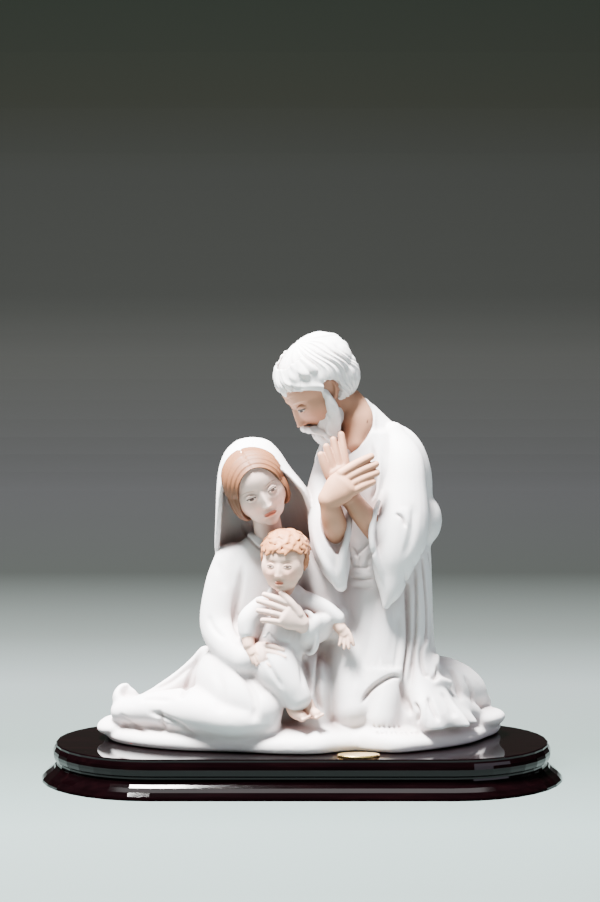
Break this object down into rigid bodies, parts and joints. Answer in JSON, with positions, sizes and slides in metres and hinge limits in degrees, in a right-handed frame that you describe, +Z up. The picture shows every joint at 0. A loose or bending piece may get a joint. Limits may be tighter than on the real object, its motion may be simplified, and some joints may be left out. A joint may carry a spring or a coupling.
{
  "type": "nativity sculpture",
  "caption": "Matt bisque sculpture of a kneeling man, a seated veiled woman and a small child on a rounded, lacquered wooden plinth.",
  "frame": {"origin": "middle of the plinth's underside", "axes": "+X along the plinth to the viewer's right, +Y to the back, +Z up; the figures face -Y"},
  "size_m": [0.34, 0.1474, 0.2954],
  "materials": {
    "wooden_plinth": "glossy black cherry lacquer",
    "holy_family_group": "matt bisque with painted skin and hair",
    "brass_plaque": "polished"
  },
  "bodies": {
    "root": {"wooden_plinth": "wooden_plinth", "holy_family_group": "holy_family_group", "brass_plaque": "brass_plaque"}
  },
  "joints": []
}
